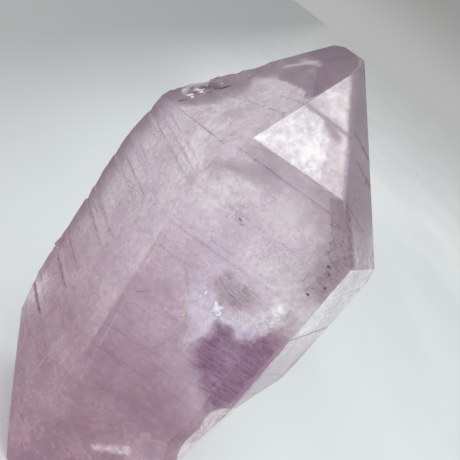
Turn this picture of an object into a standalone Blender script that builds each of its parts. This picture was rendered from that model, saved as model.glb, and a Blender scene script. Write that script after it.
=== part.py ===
"""A single amethyst point: one natural quartz crystal, standing on a flat cut at its root.

Metres, +Z up along the crystal's long axis. The broad front prism face looks toward -Y.
The origin is on the cut, under the tip. Sizes below are millimetres unless they say otherwise.
"""

import math
import random

import bmesh
import bpy
from mathutils import Matrix, Vector

MM = 0.001

# A flat face is (azimuth, tilt, distance). Azimuth is the way it looks, in degrees round from the front
# toward +X. Tilt is how far it looks up. Distance is from the origin, square to the face.
PRISM_FACES = {
    "front": (0.0, 0.0, 14.4),
    "right": (59.2, 0.5, 23.5),
    "back right": (120.0, 0.0, 23.6),
    "back": (180.0, 0.0, 15.0),
    "back left": (-119.9, -0.9, 24.5),
    "left": (-57.2, 3.1, 21.5),
}
TIP_FACES = {
    "tip front": (-0.3, 36.8, 61.2),
    "tip right": (61.8, 39.8, 65.1),
    "tip left": (-64.7, 36.8, 60.1),
    "tip back right": (119.3, 36.1, 60.2),
    "tip back left": (-119.5, 36.1, 65.5),
    "tip back": (179.0, 38.2, 68.9),
    "worn tip": (165.0, 58.0, 88.7),
}
# The edge between the front and left faces is crisp at the shoulder and rounds off toward the root.
ROUNDED_EDGE_TOP = Vector((-11.6, -14.4, 76.0))
ROUNDED_EDGE_FACES = ((-12.0, -1.1), (-24.0, -1.6), (-36.0, -1.4), (-47.0, -0.4))
# The crystal narrows toward the root where it broke off its matrix.
ROOT_BREAKS = {
    "upper left break": (-88.0, -10.0, 20.3),
    "left break": (-73.0, -25.0, 11.7),
    "lower left break": (-96.0, -31.0, 15.0),
    "back break": (166.0, -38.0, 7.2),
}

# Level growth steps, per prism face: how many, the lowest and highest, and how deep they are.
GROWTH_STEPS = {
    "left": (17, 15.0, 73.0, 0.34),
    "back left": (15, 10.0, 72.0, 0.38),
    "back": (9, 8.0, 76.0, 0.30),
    "back right": (11, 10.0, 66.0, 0.34),
    "right": (5, 48.0, 70.0, 0.12),
}
STEP_LIP = 0.35
# The left side swells a little below its shoulder: height, then how far the face stands out.
LEFT_SWELL = ((0.0, -0.2), (20.0, -0.35), (42.0, 0.0), (58.0, 0.45), (65.0, 0.4), (74.0, -0.5), (80.0, -0.6))

# Low plates of late growth: face, centre across it, centre height, width, height, rise.
PLATES = (
    ("back left", 3.2, 38.0, 5.0, 9.0, 0.24),
    ("back", -5.0, 61.0, 19.0, 8.0, 0.34),
    ("back", 7.0, 43.0, 16.0, 14.0, 0.30),
    ("back", -9.0, 30.0, 12.0, 6.0, 0.36),
    ("back right", -4.5, 54.0, 9.0, 7.0, 0.28),
    ("back right", -6.5, 31.0, 7.0, 11.0, 0.26),
)
TIP_PLATES = (
    ("tip back right", -1.5, 82.0, 9.0, 8.0, 0.32),
    ("tip back right", 3.0, 87.0, 6.0, 5.0, 0.26),
    ("tip back left", -1.8, 82.5, 4.6, 6.0, 0.28),
)

# Shell-shaped chips along the edges: centre, then the half sizes along, across and into the edge,
# then the way the edge runs.
TOP_EDGE = (0.62, 0.0, 0.78)
CHIPS = (
    ((-23.6, 8.6, 78.3), (3.0, 1.7, 1.5), TOP_EDGE),
    ((-20.6, 8.4, 81.9), (3.6, 2.6, 1.9), TOP_EDGE),
    ((-17.6, 8.6, 85.2), (3.3, 2.2, 1.5), TOP_EDGE),
    ((-14.4, 8.9, 89.1), (3.4, 1.6, 1.3), TOP_EDGE),
    ((-10.9, 9.3, 93.6), (1.9, 1.0, 0.9), TOP_EDGE),
    ((28.3, 0.4, 68.4), (1.8, 1.6, 1.7), (0.0, 0.0, 1.0)),
    ((-26.4, 3.4, 18.6), (3.2, 2.8, 2.3), (0.1, 0.0, 1.0)),
    ((18.9, -14.9, 35.4), (4.6, 4.2, 3.0), (0.05, 0.0, 1.0)),
    ((18.3, -14.8, 29.0), (6.0, 3.6, 2.3), (0.05, 0.0, 1.0)),
    ((21.2, -10.8, 10.0), (6.5, 4.6, 3.4), (0.2, 0.2, 1.0)),
    ((12.0, 17.4, 9.0), (6.0, 5.0, 3.4), (0.9, 0.0, 0.5)),
    ((-21.5, 14.3, 71.0), (4.6, 2.6, 1.3), (0.0, 0.0, 1.0)),
    ((18.8, 14.9, 66.0), (5.2, 2.2, 1.1), (0.0, 0.0, 1.0)),
    ((18.4, 14.9, 59.5), (2.8, 1.8, 0.9), (0.0, 0.0, 1.0)),
    ((-1.2, 15.0, 92.9), (3.0, 1.8, 1.0), (1.0, 0.0, 0.0)),
)

# Shallow shell-shaped scars within a face: face, centre across it, centre height, half sizes, depth.
SCARS = (
    ("tip left", -14.9, 79.6, 3.4, 2.9, 0.60),
    ("tip left", -13.6, 83.2, 4.4, 3.0, 0.65),
    ("tip left", -12.9, 87.2, 3.2, 2.2, 0.45),
    ("back", 9.0, 17.0, 9.5, 5.0, 0.70),
    ("back right", 1.0, 13.0, 5.5, 8.0, 0.75),
    ("front", -9.5, 0.5, 6.0, 4.2, 0.60),
)

# The lower right edge broke away below a slanting lip: the floor of the break and its upper wall.
NOTCH_FLOOR = (66.5, -5.0, 19.15)
NOTCH_WALL_POINTS = ((27.1, 0.3, 43.4), (17.9, -14.4, 39.2), (22.0, -3.0, 47.0))

BODY_COLOUR = (0.60, 0.47, 0.62, 1.0)


def facing(azimuth, tilt):
    """The outward direction of a face."""
    a, t = math.radians(azimuth), math.radians(tilt)
    return Vector((math.sin(a) * math.cos(t), -math.cos(a) * math.cos(t), math.sin(t)))


def across(azimuth):
    """The level direction that runs along a face, to the right as one looks at it."""
    a = math.radians(azimuth)
    return Vector((math.cos(a), math.sin(a), 0.0))


def step_profile(name, rng):
    """(height, stand-out) pairs for one prism face. Each step swells slowly and ends in a short lip."""
    if name not in GROWTH_STEPS:
        return [(-5.0, 0.0), (120.0, 0.0)]
    count, low, high, depth = GROWTH_STEPS[name]
    edges = sorted(rng.uniform(low, high) for _ in range(count))
    profile = [(-5.0, 0.0)]
    for z in edges:
        if z - profile[-1][0] < 2.2 * STEP_LIP:
            continue
        rise = depth * rng.uniform(0.3, 1.0)
        profile += [(z - STEP_LIP, 0.0), (z, -rise), (z + rng.uniform(1.2, 4.0), 0.0)]
        while len(profile) > 3 and profile[-4][0] >= profile[-3][0]:
            profile.pop(-4)
    profile.append((120.0, 0.0))
    return profile


def read_profile(profile, z):
    """The stand-out at height z, with straight lines between the pairs."""
    for (z0, d0), (z1, d1) in zip(profile, profile[1:]):
        if z0 <= z <= z1:
            return d0 + (d1 - d0) * (z - z0) / max(z1 - z0, 1e-9)
    return profile[-1][1]


def cross_section(z, profiles):
    """The corners of the six-sided column at height z, in order round it."""
    lines = []
    for name, (azimuth, tilt, distance) in PRISM_FACES.items():
        t = math.radians(tilt)
        out = read_profile(profiles[name], z)
        if name in ("left", "back left"):
            out += read_profile(LEFT_SWELL, z)
        lines.append((facing(azimuth, 0.0), (distance + out - math.sin(t) * z) / math.cos(t)))
    corners = []
    for (n0, d0), (n1, d1) in zip(lines, lines[1:] + lines[:1]):
        det = n0.x * n1.y - n0.y * n1.x
        corners.append(Vector(((d0 * n1.y - d1 * n0.y) / det, (n0.x * d1 - n1.x * d0) / det, z)))
    return corners


def mesh_object(name, bm):
    bmesh.ops.recalc_face_normals(bm, faces=bm.faces[:])
    if bm.calc_volume(signed=True) < 0.0:
        bmesh.ops.reverse_faces(bm, faces=bm.faces[:])
    mesh = bpy.data.meshes.new(name)
    bm.to_mesh(mesh)
    bm.free()
    obj = bpy.data.objects.new(name, mesh)
    bpy.context.scene.collection.objects.link(obj)
    return obj


def stepped_column():
    """The prism with its growth steps, longer than the crystal at both ends."""
    rng = random.Random(11)
    profiles = {name: step_profile(name, rng) for name in PRISM_FACES}
    heights = {z for profile in profiles.values() for z, _ in profile}
    heights |= {z for z, _ in LEFT_SWELL if z > 0.0}
    levels = []
    for z in sorted(heights):
        if not levels or z - levels[-1] > 0.08:
            levels.append(z)
    bm = bmesh.new()
    rings = [[bm.verts.new(p * MM) for p in cross_section(z, profiles)] for z in levels]
    for low, high in zip(rings, rings[1:]):
        for i in range(6):
            j = (i + 1) % 6
            bm.faces.new((low[i], low[j], high[j], high[i]))
    bm.faces.new(rings[0][::-1])
    bm.faces.new(rings[-1])
    return mesh_object("crystal", bm)


def cut(bm, normal, point):
    """Takes off everything beyond the plane and closes the cut."""
    geom = bm.verts[:] + bm.edges[:] + bm.faces[:]
    done = bmesh.ops.bisect_plane(
        bm, geom=geom, dist=1e-8, plane_co=point, plane_no=normal, clear_outer=True
    )
    edges = [e for e in done["geom_cut"] if isinstance(e, bmesh.types.BMEdge)]
    if edges:
        bmesh.ops.edgenet_fill(bm, edges=edges)


def flat_faced(name, planes, reach=160.0):
    """A closed solid with flat faces. Each plane is (outward direction, point on it), in millimetres."""
    bm = bmesh.new()
    bmesh.ops.create_cube(bm, size=2.0 * reach * MM)
    for normal, point in planes:
        cut(bm, normal, Vector(point) * MM)
    return mesh_object(name, bm)


def face_plane(face):
    azimuth, tilt, distance = face
    normal = facing(azimuth, tilt)
    return normal, normal * distance


def envelope():
    """Everything that bounds the column: the tip faces, the rounded edge, the root breaks and the cut."""
    planes = [face_plane(face) for face in TIP_FACES.values()]
    planes += [(facing(azimuth, tilt), ROUNDED_EDGE_TOP) for azimuth, tilt in ROUNDED_EDGE_FACES]
    planes += [face_plane(face) for face in ROOT_BREAKS.values()]
    planes.append((Vector((0.0, 0.0, -1.0)), Vector((0.0, 0.0, 0.0))))
    return flat_faced("envelope", planes)


def on_face(face, centre_u, centre_z):
    """A point on a face, with the face's own directions: outward, level and uphill."""
    azimuth, tilt, distance = face
    out, side = facing(azimuth, tilt), across(azimuth)
    up = side.cross(out)
    up = up if up.z > 0.0 else -up
    foot = out * distance + side * centre_u
    return foot + up * ((centre_z - foot.z) / up.z), out, side, up


def plate(name, face, centre_u, centre_z, width, height, rise, rng):
    """A low plate with sloping rims, level at its top and foot, sunk well into its face."""
    foot, out, side, up = on_face(face, centre_u, centre_z)
    planes = [(out, foot + out * rise), (-out, foot - out * 1.5)]
    for turn in (90.0, 38.0, -35.0, -90.0, -142.0, 146.0):
        a = math.radians(turn + rng.uniform(-14.0, 14.0) * (abs(turn) != 90.0))
        way = side * math.cos(a) + up * math.sin(a)
        reach = 0.5 * math.hypot(width * math.cos(a), height * math.sin(a)) * rng.uniform(0.85, 1.1)
        planes.append(((way + out * rng.uniform(0.5, 1.1)).normalized(), foot + way * reach))
    return flat_faced(name, planes)


def chip_tool(name, centre, half_sizes, edge):
    """A smooth lens that scoops one chip. Its short axis points away from the crystal's axis."""
    along = Vector(edge).normalized()
    outward = Vector((centre[0], centre[1], 0.0))
    outward = (outward - along * outward.dot(along)).normalized()
    sideways = outward.cross(along)
    bm = bmesh.new()
    bmesh.ops.create_icosphere(bm, subdivisions=3, radius=1.0)
    turn = Matrix((along, sideways, outward)).transposed()
    size = Matrix.Diagonal(Vector(half_sizes))
    for v in bm.verts:
        v.co = (Vector(centre) + turn @ (size @ v.co)) * MM
    return mesh_object(name, bm)


def scar_tool(name, face, centre_u, centre_z, half_width, half_height, depth):
    """A ball squeezed into a lens, so that only a shallow cap of it reaches under the face."""
    foot, out, side, up = on_face(face, centre_u, centre_z)
    swell = 0.5 * (half_width * half_height) / depth * 0.35
    reach = math.sqrt(max(1.0 - (1.0 - depth / swell) ** 2, 0.01))
    bm = bmesh.new()
    bmesh.ops.create_icosphere(bm, subdivisions=4, radius=1.0)
    centre = foot + out * (swell - depth)
    for v in bm.verts:
        level = side * (v.co.x * half_width / reach) + up * (v.co.y * half_height / reach)
        v.co = (centre + level + out * (v.co.z * swell)) * MM
    return mesh_object(name, bm)


def notch_tool():
    floor_out, floor_point = face_plane(NOTCH_FLOOR)
    a, b, c = (Vector(p) for p in NOTCH_WALL_POINTS)
    wall = (b - a).cross(c - a).normalized()
    wall = wall if wall.z > 0.0 else -wall
    planes = [(-floor_out, floor_point), (wall, a), (Vector((0.0, 0.0, -1.0)), Vector((0.0, 0.0, -6.0)))]
    return flat_faced("notch tool", planes, reach=70.0)


def combine(target, tool, operation):
    """Applies one exact Boolean to the target and removes the tool."""
    modifier = target.modifiers.new(operation, "BOOLEAN")
    modifier.operation = operation
    modifier.solver = "EXACT"
    modifier.object = tool
    bpy.context.view_layer.update()
    evaluated = target.evaluated_get(bpy.context.evaluated_depsgraph_get())
    mesh = bpy.data.meshes.new_from_object(evaluated)
    target.modifiers.clear()
    old = target.data
    target.data = mesh
    bpy.data.meshes.remove(old)
    bpy.data.objects.remove(tool)


def tidy(obj):
    """Drops the cuts that lie within a flat face, and splits the rest into triangles."""
    bm = bmesh.new()
    bm.from_mesh(obj.data)
    bmesh.ops.remove_doubles(bm, verts=bm.verts[:], dist=0.004 * MM)
    bmesh.ops.dissolve_limit(bm, angle_limit=math.radians(0.05), verts=bm.verts[:], edges=bm.edges[:])
    bmesh.ops.triangulate(bm, faces=bm.faces[:])
    bmesh.ops.recalc_face_normals(bm, faces=bm.faces[:])
    bm.to_mesh(obj.data)
    bm.free()


def amethyst():
    material = bpy.data.materials.new("amethyst")
    material.use_nodes = True
    shader = material.node_tree.nodes["Principled BSDF"]
    shader.inputs["Base Color"].default_value = BODY_COLOUR
    shader.inputs["Roughness"].default_value = 0.12
    shader.inputs["Metallic"].default_value = 0.0
    shader.inputs["IOR"].default_value = 1.544
    return material


def main():
    for old in list(bpy.data.objects):
        bpy.data.objects.remove(old)
    crystal = stepped_column()
    combine(crystal, envelope(), "INTERSECT")
    rng = random.Random(5)
    for i, (name, u, z, width, height, rise) in enumerate(PLATES):
        combine(crystal, plate(f"plate {i}", PRISM_FACES[name], u, z, width, height, rise, rng), "UNION")
    for i, (name, u, z, width, height, rise) in enumerate(TIP_PLATES):
        combine(crystal, plate(f"tip plate {i}", TIP_FACES[name], u, z, width, height, rise, rng), "UNION")
    combine(crystal, notch_tool(), "DIFFERENCE")
    for i, (centre, half_sizes, edge) in enumerate(CHIPS):
        combine(crystal, chip_tool(f"chip {i}", centre, half_sizes, edge), "DIFFERENCE")
    for i, (name, u, z, half_width, half_height, depth) in enumerate(SCARS):
        face = PRISM_FACES.get(name) or TIP_FACES[name]
        combine(crystal, scar_tool(f"scar {i}", face, u, z, half_width, half_height, depth), "DIFFERENCE")
    tidy(crystal)
    crystal.data.materials.clear()
    crystal.data.materials.append(amethyst())


main()
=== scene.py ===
"""A single amethyst point standing on a pale studio floor.

The scene is in metres, in the frame of the CAD part. Tables and helpers work in millimetres and are
scaled by MM where a mesh or a light is made.
"""

import math
import random

import bmesh
import bpy
import numpy as np
from mathutils import Matrix, Vector, geometry, noise


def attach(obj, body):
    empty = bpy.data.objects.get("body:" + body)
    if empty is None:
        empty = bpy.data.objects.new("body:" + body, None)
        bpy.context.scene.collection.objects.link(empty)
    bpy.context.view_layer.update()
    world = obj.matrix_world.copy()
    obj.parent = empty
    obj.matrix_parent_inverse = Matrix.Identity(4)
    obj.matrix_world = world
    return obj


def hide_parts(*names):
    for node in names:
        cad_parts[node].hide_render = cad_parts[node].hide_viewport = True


MM = 0.001
SIDE_PX = 460

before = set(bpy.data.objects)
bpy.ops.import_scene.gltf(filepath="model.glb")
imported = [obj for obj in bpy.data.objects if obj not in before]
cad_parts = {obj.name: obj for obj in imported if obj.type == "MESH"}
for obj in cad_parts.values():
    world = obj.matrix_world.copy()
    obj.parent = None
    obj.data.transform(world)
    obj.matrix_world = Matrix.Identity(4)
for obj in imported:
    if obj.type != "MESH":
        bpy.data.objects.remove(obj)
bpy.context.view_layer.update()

# Where the photograph was taken from: the eye, the way from the picture's middle back to it, as degrees
# round from the front and degrees up, the camera's roll in degrees, and the focal length in pixels.
EYE = (-13.5, -109.8, 103.9)
CAMERA_WAY = (-6.977, 20.358)
CAMERA_ROLL = 37.476
FOCAL_PX = 629.436

# Clear quartz, with the faint violet of its whole body.
IOR = 1.544
ABSORPTION_COLOUR = (0.74, 0.51, 0.71, 1.0)
ABSORPTION_DENSITY = 16.0

# The crystal's faces: the way each looks, as degrees round from the front toward +X, then degrees up.
FACES = {
    "front": (0.0, 0.0),
    "right": (59.2, 0.5),
    "back right": (120.0, 0.0),
    "back": (180.0, 0.0),
    "back left": (-119.9, -0.9),
    "left": (-57.2, 3.1),
    "tip front": (-0.3, 36.8),
    "tip right": (61.8, 39.8),
    "tip left": (-64.7, 36.8),
    "tip back right": (119.3, 36.1),
    "tip back left": (-119.5, 36.1),
    "tip back": (179.0, 38.2),
    "worn tip": (165.0, 58.0),
    "cut": (0.0, -90.0),
}
# How many degrees a surface may lean away from a face and still belong to it.
FACE_SPREAD = 13.0
# The rounded corner of the prism between its left and front faces, and where on it the front begins, in
# degrees round. A surface is upright where its normal rises by less than UPRIGHT.
ROUND_CORNER = (-58.0, 0.0)
FRONT_FROM = -20.0
UPRIGHT = 0.13

# How far apart the points of a face are put, as a rule and on the faces that show fine detail.
GRID = 0.66
FINE_GRIDS = {"front": 0.42, "tip front": 0.32, "tip right": 0.42, "tip left": 0.48, "left": 0.52}
# As shares of that spacing: the gap between rows, the random nudge of a point, the clear strip along a
# face's outline, and the length from which an edge is split.
ROW_GAP = 0.87
NUDGE = 0.12
CLEAR_STRIP = 0.45
SPLIT_FROM = 1.15
# Edges sharper than this get a narrow strip of triangles, and are worn down.
SHARP_EDGE = math.radians(20.0)
EDGE_STRIP = 0.14
EDGE_WEAR = 0.055
# Shading breaks at edges sharper than this.
CREASE = math.radians(16.0)
# Faces of the CAD part larger than this, in square millimetres, are filled with even triangles.
LARGE_FACE = 0.4
# Below this height the surface belongs to the flat cut that the crystal stands on.
CUT_TOP = 0.01
# The chipped stretch of the tip's upper left edge.
CHIPPED = (-18.6, 6.6, 80.6)
CHIPPED_REACH = (3.4, 2.9, 3.4)


def facing(azimuth, tilt):
    """The direction this many degrees round from the front toward +X, and this many up."""
    a, t = math.radians(azimuth), math.radians(tilt)
    return Vector((math.sin(a) * math.cos(t), -math.cos(a) * math.cos(t), math.sin(t)))


FACE_WAYS = {name: facing(*way) for name, way in FACES.items()}


def face_name(normal):
    """The named face that looks this way, or "broken" for chips, steps and edges."""
    azimuth = math.degrees(math.atan2(normal.x, -normal.y))
    if abs(normal.z) < UPRIGHT and ROUND_CORNER[0] < azimuth < ROUND_CORNER[1]:
        return "front" if azimuth > FRONT_FROM else "left"
    name = max(FACE_WAYS, key=lambda n: FACE_WAYS[n].dot(normal))
    return name if FACE_WAYS[name].dot(normal) > math.cos(math.radians(FACE_SPREAD)) else "broken"


def smooth(x, low, high):
    """Rises softly from 0 where x is low to 1 where x is high, whichever of the two is larger."""
    t = min(max((x - low) / (high - low), 0.0), 1.0)
    return t * t * (3.0 - 2.0 * t)


def blob(p, centre, sizes):
    """1 at the centre, falling off softly. Sizes are the reach along x, y and z."""
    d = sum(((a - b) / s) ** 2 for a, b, s in zip(p, centre, sizes))
    return math.exp(-d)


def wobble(p, scale, seed):
    """Cloudy noise around 0, with finer noise on it."""
    return noise.fractal(Vector(p) * scale + Vector((seed, seed * 0.7, -seed)), 0.9, 2.0, 4)


def add_camera():
    data = bpy.data.cameras.new("camera")
    data.sensor_width = 36.0
    data.lens = FOCAL_PX / SIDE_PX * data.sensor_width
    data.clip_start = 0.001
    data.clip_end = 50.0
    camera = bpy.data.objects.new("camera", data)
    bpy.context.scene.collection.objects.link(camera)
    back = facing(*CAMERA_WAY)
    level = Vector((0.0, 0.0, 1.0)).cross(back).normalized()
    roll = Matrix.Rotation(math.radians(CAMERA_ROLL), 3, back)
    turn = Matrix((roll @ level, roll @ back.cross(level), back)).transposed()
    camera.matrix_world = Matrix.Translation(Vector(EYE) * MM) @ turn.to_4x4()
    bpy.context.scene.camera = camera


class Nodes:
    """A short way to write a node tree."""

    def __init__(self, tree):
        self.tree = tree
        self.tree.nodes.clear()

    def add(self, kind, inputs=None, **settings):
        node = self.tree.nodes.new(kind)
        for name, value in settings.items():
            setattr(node, name, value)
        for name, value in (inputs or {}).items():
            self.feed(node, name, value)
        return node

    def feed(self, node, name, value):
        socket = node.inputs[name]
        if isinstance(value, bpy.types.NodeSocket):
            self.tree.links.new(value, socket)
        else:
            socket.default_value = value

    def math(self, operation, *values, clamp=False):
        node = self.add("ShaderNodeMath", operation=operation, use_clamp=clamp)
        for i, value in enumerate(values):
            self.feed(node, i, value)
        return node.outputs[0]

    def vector(self, operation, *values):
        node = self.add("ShaderNodeVectorMath", operation=operation)
        for i, value in enumerate(values):
            self.feed(node, i, value)
        return node.outputs["Value" if operation in ("DISTANCE", "DOT_PRODUCT", "LENGTH") else "Vector"]

    def place(self):
        """The point on the object, in millimetres."""
        coords = self.add("ShaderNodeTexCoord")
        return self.vector("MULTIPLY", coords.outputs["Object"], (1000.0, 1000.0, 1000.0))

    def ramp(self, value, low, high, to_low=0.0, to_high=1.0, smooth=True):
        node = self.add("ShaderNodeMapRange", interpolation_type="SMOOTHSTEP" if smooth else "LINEAR")
        for i, x in enumerate((value, low, high, to_low, to_high)):
            self.feed(node, i, x)
        return node.outputs[0]

    def noise(self, vector, scale, detail=3.0, roughness=0.5):
        inputs = {"Vector": vector, "Scale": scale, "Detail": detail, "Roughness": roughness}
        return self.add("ShaderNodeTexNoise", inputs).outputs["Fac"]

    def mix(self, factor, a, b):
        node = self.add("ShaderNodeMix", data_type="RGBA")
        for i, value in ((0, factor), (6, a), (7, b)):
            self.feed(node, i, value)
        return node.outputs[2]

    def attribute(self, name, output="Fac"):
        return self.add("ShaderNodeAttribute", attribute_name=name).outputs[output]


def new_material(name):
    material = bpy.data.materials.new(name)
    material.use_nodes = True
    return material, Nodes(material.node_tree)


def grid_of(face):
    """How far apart the points of this face are put, in millimetres."""
    return FINE_GRIDS.get(face_name(face.normal), GRID)


def split_long_edges(bm):
    """Splits each edge into even pieces, as long as the finer of its faces asks."""
    wanted = [(e, min((grid_of(f) for f in e.link_faces), default=GRID)) for e in bm.edges]
    for edge, grid in wanted:
        if edge.calc_length() < SPLIT_FROM * grid * MM:
            continue
        pieces = math.ceil(edge.calc_length() / (grid * MM))
        start = edge.verts[0]
        for left in range(pieces, 1, -1):
            edge, start = bmesh.utils.edge_split(edge, start, 1.0 / left)


def away_from(points, ends, more_ends, least):
    """Which points lie further than least from every segment."""
    span = more_ends - ends
    length2 = np.maximum((span ** 2).sum(1), 1e-12)
    keep = np.ones(len(points), bool)
    batch = 2000
    for i in range(0, len(points), batch):
        gap = points[i:i + batch, None] - ends[None]
        t = np.clip((gap * span).sum(2) / length2, 0.0, 1.0)
        near = ((gap - t[..., None] * span) ** 2).sum(2).min(1)
        keep[i:i + batch] = near > least * least
    return keep


def inside(points, ends, more_ends):
    """Which points lie inside the polygon made of these segments."""
    result = np.zeros(len(points), bool)
    for (x0, y0), (x1, y1) in zip(ends, more_ends):
        if y0 == y1:
            continue
        crosses = (y0 > points[:, 1]) != (y1 > points[:, 1])
        result ^= crosses & (points[:, 0] < (x1 - x0) * (points[:, 1] - y0) / (y1 - y0) + x0)
    return result


def fill_face(bm, face, rng):
    """Replaces one large flat face by even triangles, with a narrow strip along its sharp edges."""
    normal = face.normal.copy()
    level = Vector((0.0, 0.0, 1.0)).cross(normal)
    level = level.normalized() if level.length > 0.05 else Vector((1.0, 0.0, 0.0))
    uphill = normal.cross(level)
    corners = [loop.vert for loop in face.loops]
    origin = corners[0].co.copy()
    flat = np.array([[(v.co - origin).dot(level), (v.co - origin).dot(uphill)] for v in corners]) / MM
    after = np.roll(flat, -1, axis=0)
    grid = grid_of(face)
    low, high = flat.min(0), flat.max(0)
    u, v = np.meshgrid(np.arange(low[0], high[0], grid), np.arange(low[1], high[1], grid * ROW_GAP))
    u[1::2] += grid / 2
    lattice = np.stack([u.ravel(), v.ravel()], 1)
    lattice += rng.uniform(-NUDGE, NUDGE, lattice.shape) * grid
    lattice = lattice[inside(lattice, flat, after)]
    if len(lattice):
        lattice = lattice[away_from(lattice, flat, after, CLEAR_STRIP * grid)]
    strip = []
    for loop, a, b in zip(face.loops, flat, after):
        if len(loop.edge.link_faces) == 2 and loop.edge.calc_face_angle(0.0) > SHARP_EDGE:
            way = (b - a) / max(np.linalg.norm(b - a), 1e-9)
            strip.append((a + b) / 2 + np.array((-way[1], way[0])) * EDGE_STRIP)
    strip = np.array(strip).reshape(-1, 2)
    if len(strip):
        strip = strip[inside(strip, flat, after)]
    if len(strip):
        strip = strip[away_from(strip, flat, after, 0.9 * EDGE_STRIP)]
    points = np.concatenate([flat, lattice.reshape(-1, 2), strip.reshape(-1, 2)])
    ring = list(range(len(flat)))
    made = geometry.delaunay_2d_cdt([Vector(p) for p in points], [], [ring], 1, 1e-6)
    places, triangles, sources = made[0], made[2], made[3]
    verts = []
    for place, source in zip(places, sources):
        known = [i for i in source if i < len(flat)]
        if known:
            verts.append(corners[known[0]])
        else:
            verts.append(bm.verts.new(origin + (level * place.x + uphill * place.y) * MM))
    bm.faces.remove(face)
    for triangle in triangles:
        three = [verts[i] for i in triangle]
        if len(set(three)) == 3 and not bm.faces.get(three):
            bm.faces.new(three)


# Growth lines: the shares of x and y that their length follows, then each set of lines, as its scale
# along them, its seed, its scale up the face and its depth.
LEFT_LINES = ((1.0, -1.0), ((0.05, 3.0, 1.5, 0.05), (0.12, 9.0, 3.4, 0.03)))
BACK_LINES = ((1.0, 0.0), ((0.06, 1.0, 1.2, 0.05),))
NO_LINES = ((1.0, 0.0), ())
# Ripples: their scale, seed and depth.
SIDE_RIPPLE = (0.2, 4.0, 0.04)
BACK_RIPPLE = (0.25, 8.0, 0.05)
FRONT_RIPPLE = (0.12, 2.0, 0.02)
RIGHT_RIPPLE = (0.15, 6.0, 0.02)
TIP_RIPPLE = (0.2, 12.0, 0.012)
BROKEN_RIPPLE = (1.1, 5.0, 0.07)
# The fine relief of each face. The faces left out are rough all over, as broken ones are.
FACE_RELIEF = {
    "left": (LEFT_LINES, SIDE_RIPPLE),
    "back left": (LEFT_LINES, SIDE_RIPPLE),
    "back": (BACK_LINES, BACK_RIPPLE),
    "back right": (BACK_LINES, BACK_RIPPLE),
    "tip back": (BACK_LINES, BACK_RIPPLE),
    "tip back left": (BACK_LINES, BACK_RIPPLE),
    "tip back right": (BACK_LINES, BACK_RIPPLE),
    "front": (NO_LINES, FRONT_RIPPLE),
    "right": (NO_LINES, RIGHT_RIPPLE),
    "tip front": (NO_LINES, TIP_RIPPLE),
    "tip left": (NO_LINES, TIP_RIPPLE),
}


def relief(p, name):
    """How far the surface stands out at p, in millimetres: fine growth lines, ripples and roughness."""
    if name == "cut":
        return 0.0
    if name == "tip right":
        return noise.noise(Vector((p.x * 1.3 + p.y * 0.9, p.z * 0.12, 5.0))) * 0.02
    (way, sets), (scale, seed, depth) = FACE_RELIEF.get(name, (NO_LINES, BROKEN_RIPPLE))
    u = way[0] * p.x + way[1] * p.y
    height = 0.0
    for along, line_seed, up, line_depth in sets:
        height += noise.noise(Vector((u * along, line_seed, p.z * up))) * line_depth
    height += wobble(p, scale, seed) * depth
    if name == "front":
        low = smooth(p.z, 42.0, 20.0)
        height += low * noise.noise(Vector((p.x * 0.1, 2.0, p.z * 0.9))) * 0.015
    if name == "tip left":
        chip = blob(p, CHIPPED, CHIPPED_REACH)
        height -= chip * (0.15 + 1.5 * abs(noise.noise(p * 0.9)) * chip)
    return height


def wear(p):
    """How far a sharp edge is worn down at p: unevenly, with small nicks."""
    if p.z < CUT_TOP:
        return 0.0
    return EDGE_WEAR * (0.35 + 1.1 * abs(noise.noise(p * 0.9)) + 1.4 * max(noise.noise(p * 2.7), 0.0))


def refined_mesh(source):
    """The CAD mesh with even triangles, worn edges and fine relief. Returns the mesh and each face's name."""
    bm = bmesh.new()
    bm.from_mesh(source.data)
    bmesh.ops.remove_doubles(bm, verts=bm.verts[:], dist=1e-6)
    bmesh.ops.dissolve_limit(bm, angle_limit=math.radians(0.2), verts=bm.verts[:], edges=bm.edges[:])
    split_long_edges(bm)
    bm.normal_update()
    rng = np.random.default_rng(3)
    for face in [f for f in bm.faces if f.calc_area() > LARGE_FACE * MM * MM]:
        fill_face(bm, face, rng)
    bmesh.ops.triangulate(bm, faces=bm.faces[:])
    bmesh.ops.recalc_face_normals(bm, faces=bm.faces[:])
    bm.normal_update()
    bm.verts.index_update()
    names = [face_name(f.normal) for f in bm.faces]
    shifts = []
    for vert in bm.verts:
        normals = [f.normal for f in vert.link_faces]
        p = vert.co / MM
        spread = min((a.dot(b) for a in normals for b in normals), default=1.0)
        if spread < math.cos(SHARP_EDGE):
            shifts.append(-vert.normal * wear(p))
        else:
            shifts.append(vert.normal * relief(p, face_name(vert.normal)))
    for vert, shift in zip(bm.verts, shifts):
        vert.co += shift * MM
    mesh = bpy.data.meshes.new("amethyst_point")
    bm.to_mesh(mesh)
    bm.free()
    return mesh, names


# Colour that one pass through the surface takes on, and how milky it is, face by face. The tip's right
# face is tinted dark as a painted reflection of grey surroundings.
FACE_TINTS = {
    "front": (0.90, 0.81, 0.86),
    "right": (1.0, 0.99, 1.0),
    "left": (0.94, 0.84, 0.885),
    "tip front": (0.98, 0.96, 0.95),
    # Painted reflection of grey surroundings, which makes this face dark.
    "tip right": (0.49, 0.435, 0.45),
    "tip left": (0.93, 0.87, 0.88),
    "broken": (0.86, 0.78, 0.82),
}
REAR_TINT = (0.94, 0.86, 0.90)
REAR_HAZE = 0.35
FACE_HAZE = {
    "front": 0.28,
    "left": 0.30,
    "tip front": 0.60,
    "tip left": 0.30,
    "right": 0.62,
    "tip right": 0.12,
    "broken": 0.12,
}
FACE_ROUGH = {
    "front": 0.05,
    "right": 0.07,
    "left": 0.14,
    "tip front": 0.10,
    "tip left": 0.07,
    "tip right": 0.08,
    "broken": 0.14,
}
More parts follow.
